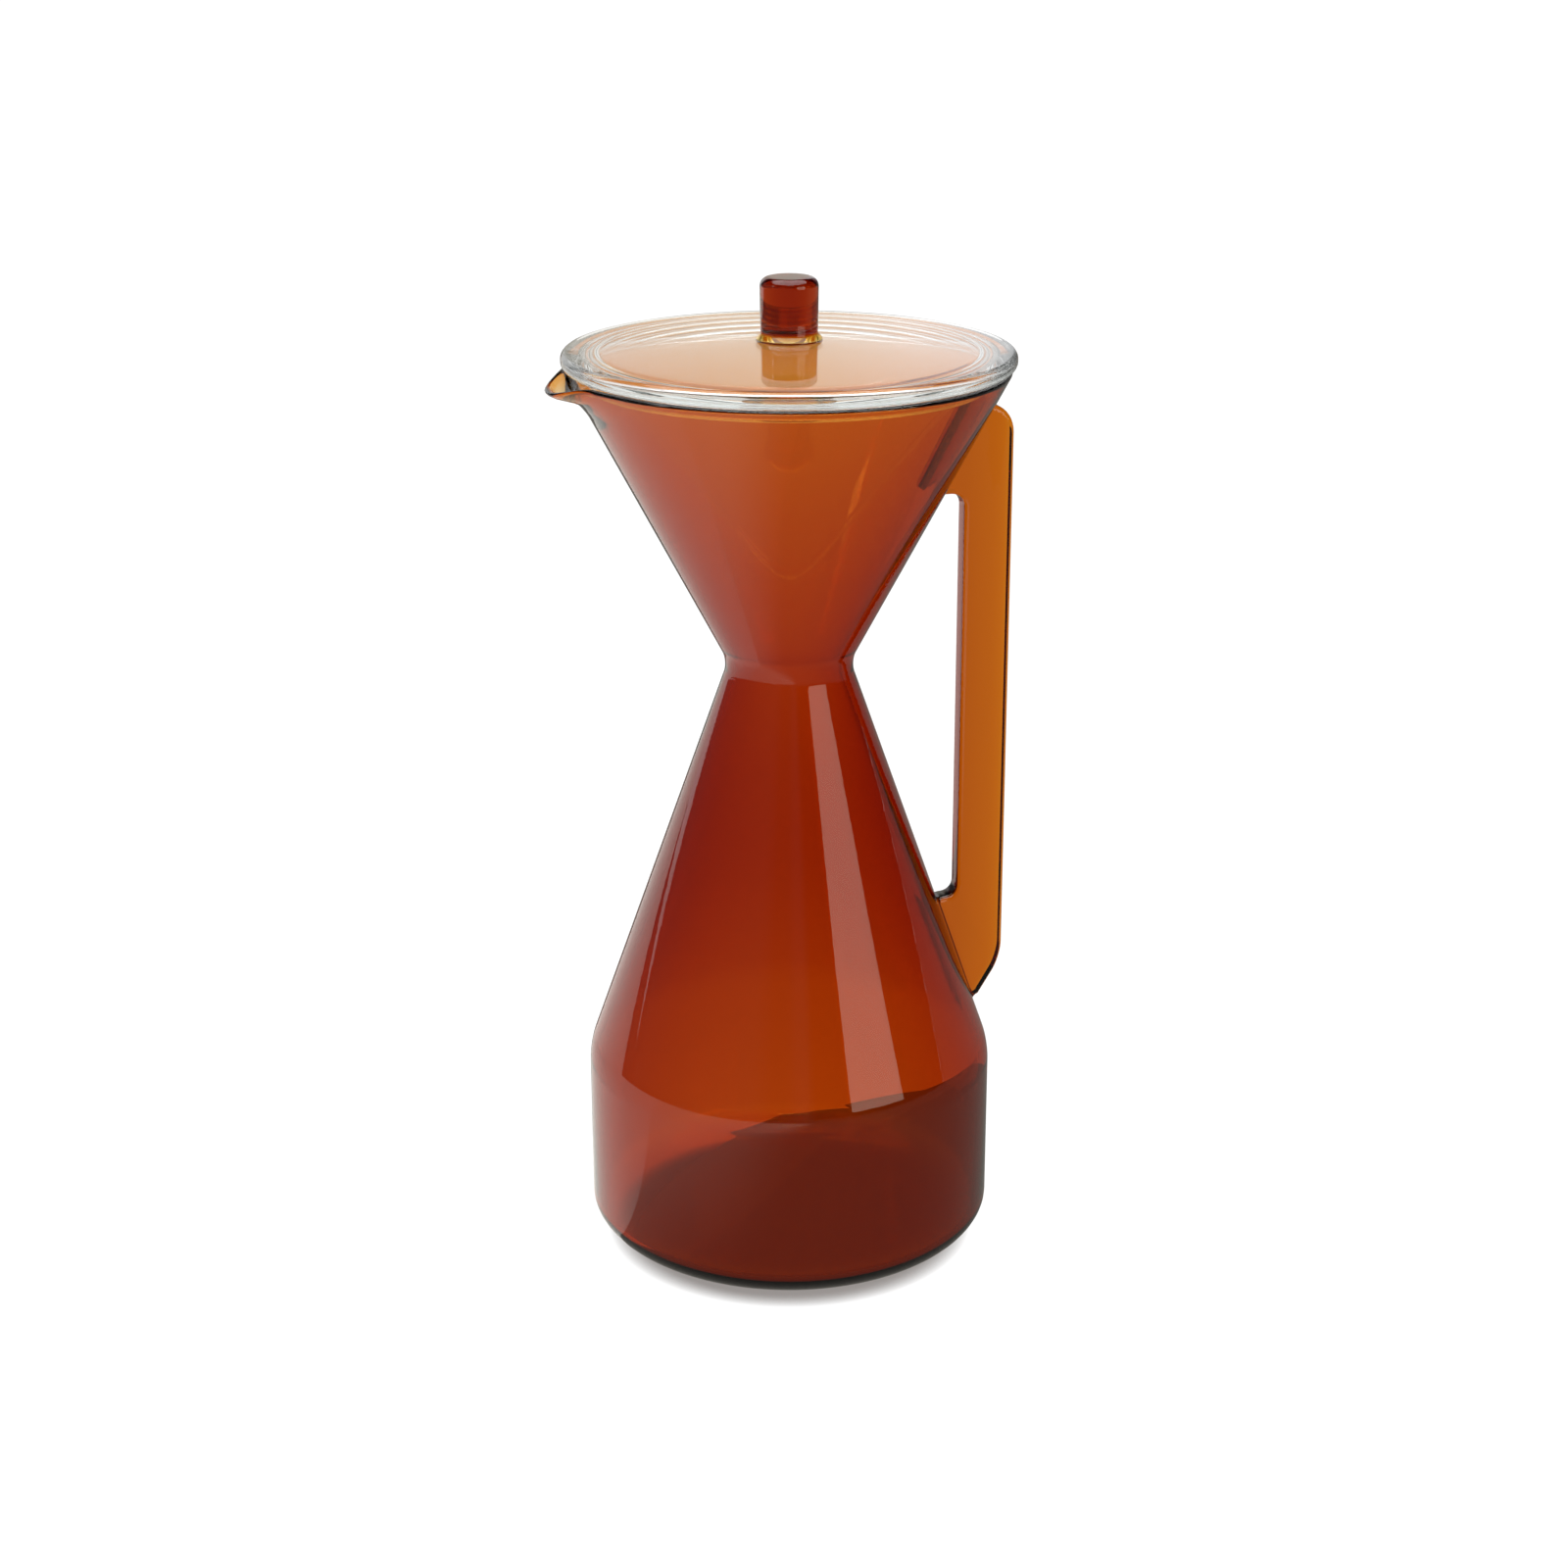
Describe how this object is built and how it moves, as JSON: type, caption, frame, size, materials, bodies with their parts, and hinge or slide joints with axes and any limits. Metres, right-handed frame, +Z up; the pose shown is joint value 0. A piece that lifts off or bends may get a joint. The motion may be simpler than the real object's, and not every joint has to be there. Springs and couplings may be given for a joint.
{
  "type": "pour-over carafe",
  "caption": "Hourglass glass pour-over carafe with a pulled pouring spout, a flat slab handle fused to its side and a domed lift-off lid with a knob.",
  "frame": {"origin": "centre of the flat base, on the vessel's axis", "axes": "+Z up along the vessel's axis, +X towards the handle, -X towards the pouring spout"},
  "size_m": [0.1239, 0.117, 0.266],
  "materials": {
    "amber_glass": "polished blown borosilicate glass, red-amber",
    "handle_glass": "polished solid amber glass, orange-gold",
    "clear_glass": "polished colourless glass",
    "knob_glass": "polished solid deep amber glass"
  },
  "bodies": {
    "carafe": {"carafe_body": "amber_glass", "handle": "handle_glass", "handle_top_weld": "handle_glass", "handle_bottom_weld": "handle_glass"},
    "lid": {"lid_disc": "clear_glass", "lid_locating_ring": "clear_glass", "lid_knob": "knob_glass", "knob_collar": "knob_glass"}
  },
  "joints": [
    {"name": "lid_lift", "type": "slide", "parent": "carafe", "child": "lid", "axis": [0, 0, 1], "range_m": [0, 0.08]}
  ]
}
